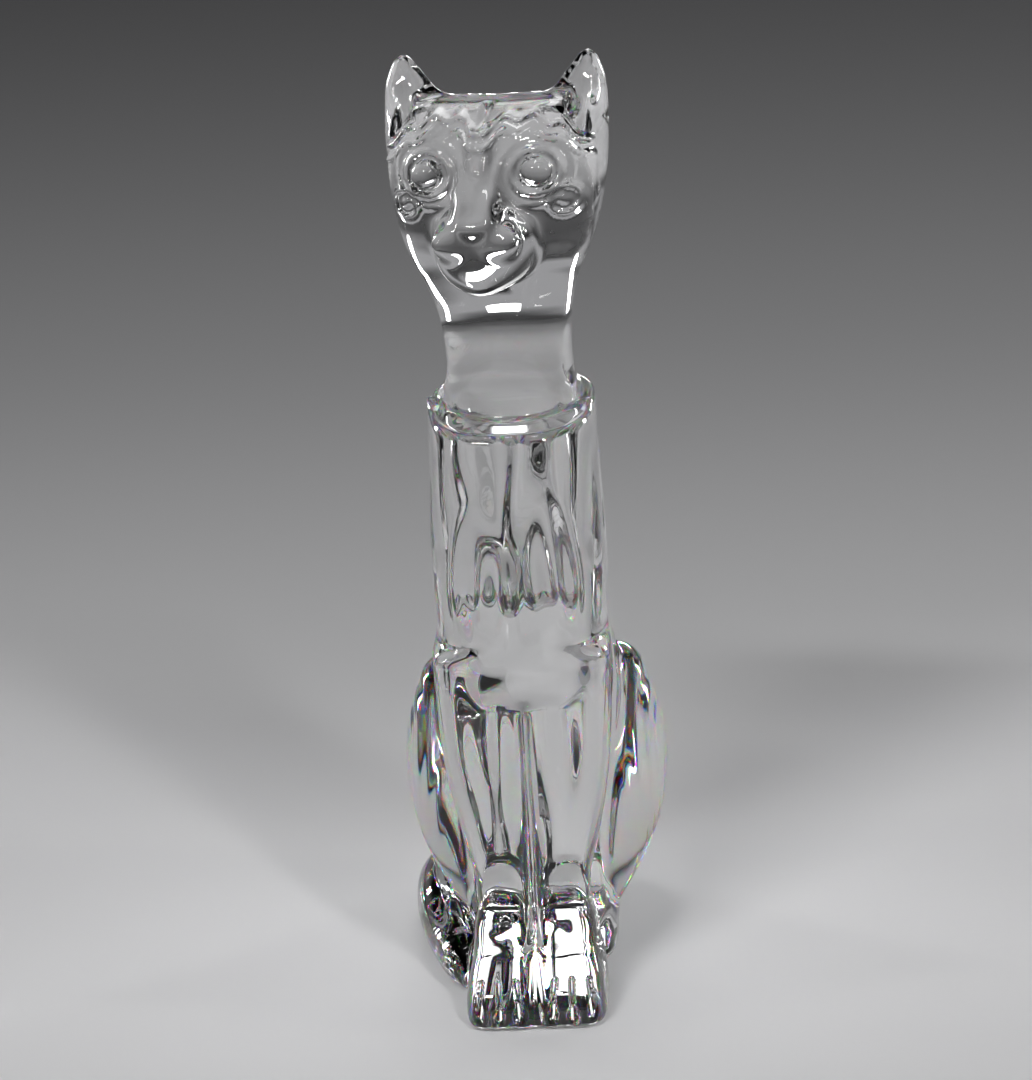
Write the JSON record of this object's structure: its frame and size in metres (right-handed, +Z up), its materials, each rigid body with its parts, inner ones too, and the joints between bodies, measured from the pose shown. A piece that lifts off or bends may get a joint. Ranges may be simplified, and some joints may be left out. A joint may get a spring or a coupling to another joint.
{
  "type": "figurine",
  "caption": "Seated cat figurine of solid clear crystal, upright on its paws, with a long neck, pointed ears and a tail curled along one side.",
  "frame": {"origin": "centre of the bounding box, on the plane of the surface that the cat stands on", "axes": "+Z up to the ears, -Y the way the chest and paws face, +X the cat's own left side"},
  "size_m": [0.0472, 0.0841, 0.1603],
  "materials": {
    "crystal": "polished"
  },
  "bodies": {
    "root": {"torso": "crystal", "neck": "crystal", "head": "crystal", "muzzle": "crystal", "left_ear": "crystal", "right_ear": "crystal", "left_eye": "crystal", "right_eye": "crystal", "left_foreleg": "crystal", "right_foreleg": "crystal", "left_front_paw": "crystal", "right_front_paw": "crystal", "left_haunch": "crystal", "right_haunch": "crystal", "left_hind_paw": "crystal", "right_hind_paw": "crystal", "tail": "crystal"}
  },
  "joints": []
}
